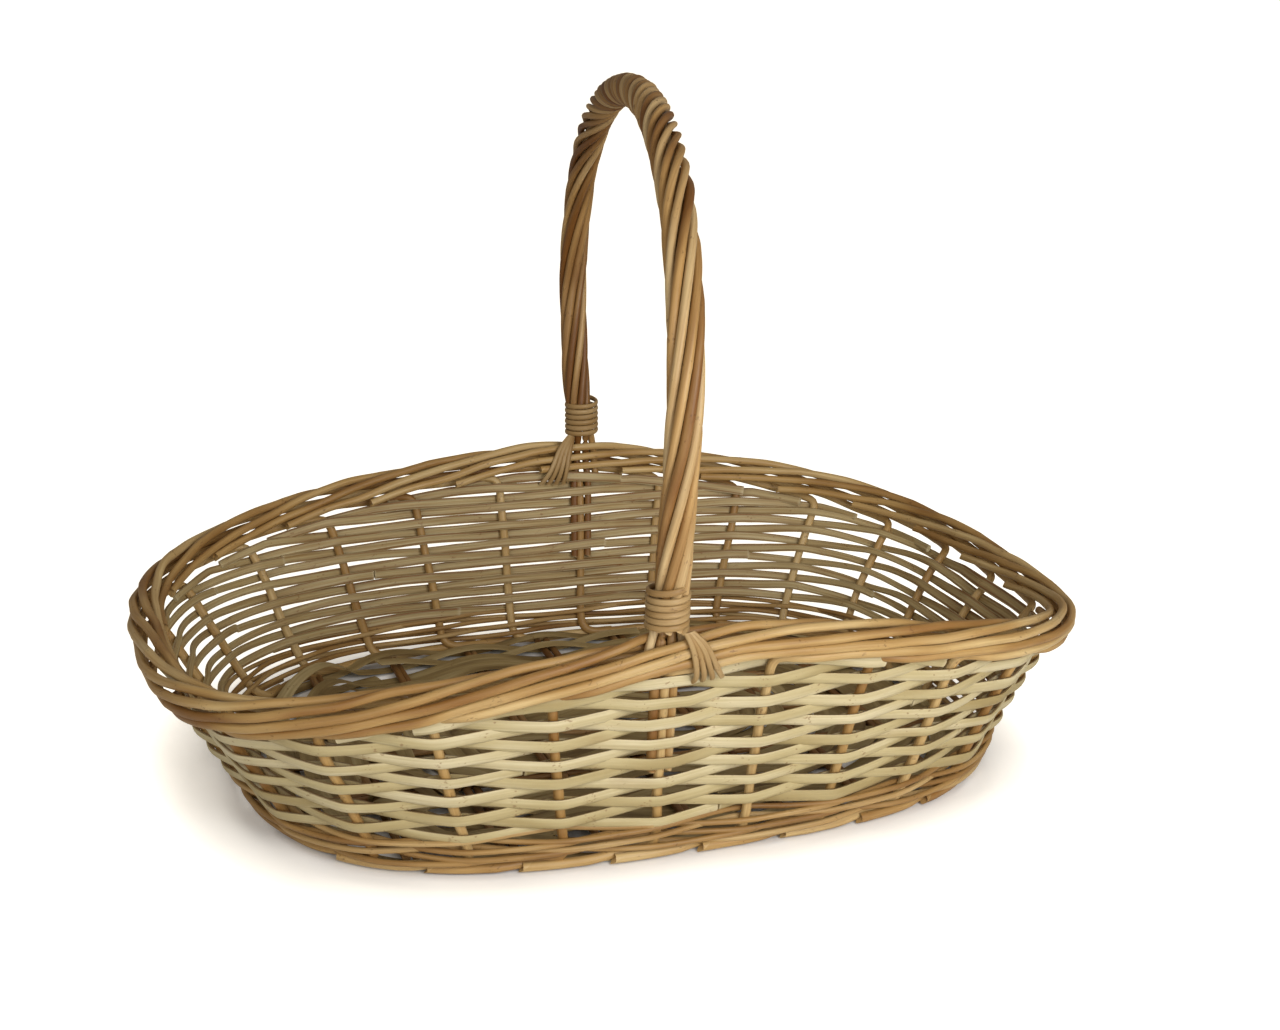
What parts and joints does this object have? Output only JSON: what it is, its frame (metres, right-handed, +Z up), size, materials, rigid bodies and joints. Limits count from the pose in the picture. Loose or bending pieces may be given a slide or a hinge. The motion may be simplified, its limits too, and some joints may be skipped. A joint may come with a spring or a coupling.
{
  "type": "market basket",
  "caption": "Oval woven willow market basket with high sides under a fixed rope-twisted bow handle and low open ends.",
  "frame": {"origin": "on the ground at the middle of the foot", "axes": "+Z up through the open top, +X along the basket's length, +Y across it towards the rear handle leg"},
  "size_m": [0.5842, 0.444, 0.4151],
  "materials": {
    "buff_willow": "satin bark-buffed willow rod",
    "wale_willow": "satin thin willow rod",
    "white_willow": "matte peeled split willow",
    "stick_willow": "matte brown willow stick",
    "skein_willow": "matte shaved willow skein",
    "handle_willow": "satin bark-buffed willow rod",
    "lashing_willow": "satin thin willow rod"
  },
  "bodies": {
    "root": {"stake_01": "buff_willow", "stake_02": "buff_willow", "stake_03": "buff_willow", "stake_04": "buff_willow", "stake_05": "buff_willow", "stake_06": "buff_willow", "stake_07": "buff_willow", "stake_08": "buff_willow", "stake_09": "buff_willow", "stake_10": "buff_willow", "stake_11": "buff_willow", "stake_12": "buff_willow", "stake_13": "buff_willow", "stake_14": "buff_willow", "stake_15": "buff_willow", "stake_16": "buff_willow", "stake_17": "buff_willow", "stake_18": "buff_willow", "stake_19": "buff_willow", "stake_20": "buff_willow", "stake_21": "buff_willow", "stake_22": "buff_willow", "stake_23": "buff_willow", "stake_24": "buff_willow", "stake_25": "buff_willow", "stake_26": "buff_willow", "upsett_wale": "wale_willow", "weaver_01": "white_willow", "weaver_02": "white_willow", "weaver_03": "white_willow", "weaver_04": "white_willow", "weaver_05": "white_willow", "weaver_06": "white_willow", "weaver_07": "white_willow", "weaver_08": "white_willow", "weaver_09": "white_willow", "front_packing_01": "white_willow", "rear_packing_01": "white_willow", "front_packing_02": "white_willow", "rear_packing_02": "white_willow", "front_packing_03": "white_willow", "rear_packing_03": "white_willow", "front_packing_04": "white_willow", "rear_packing_04": "white_willow", "front_packing_05": "white_willow", "rear_packing_05": "white_willow", "base_sticks": "stick_willow", "base_weave": "skein_willow", "handle_core": "handle_willow", "handle_strand_1": "handle_willow", "handle_strand_2": "handle_willow", "handle_strand_3": "handle_willow", "handle_strand_4": "handle_willow", "handle_strand_5": "handle_willow", "handle_strand_6": "handle_willow", "handle_strand_7": "handle_willow", "handle_strand_8": "handle_willow", "lashing_front": "lashing_willow", "lashing_rear": "lashing_willow"}
  },
  "joints": []
}
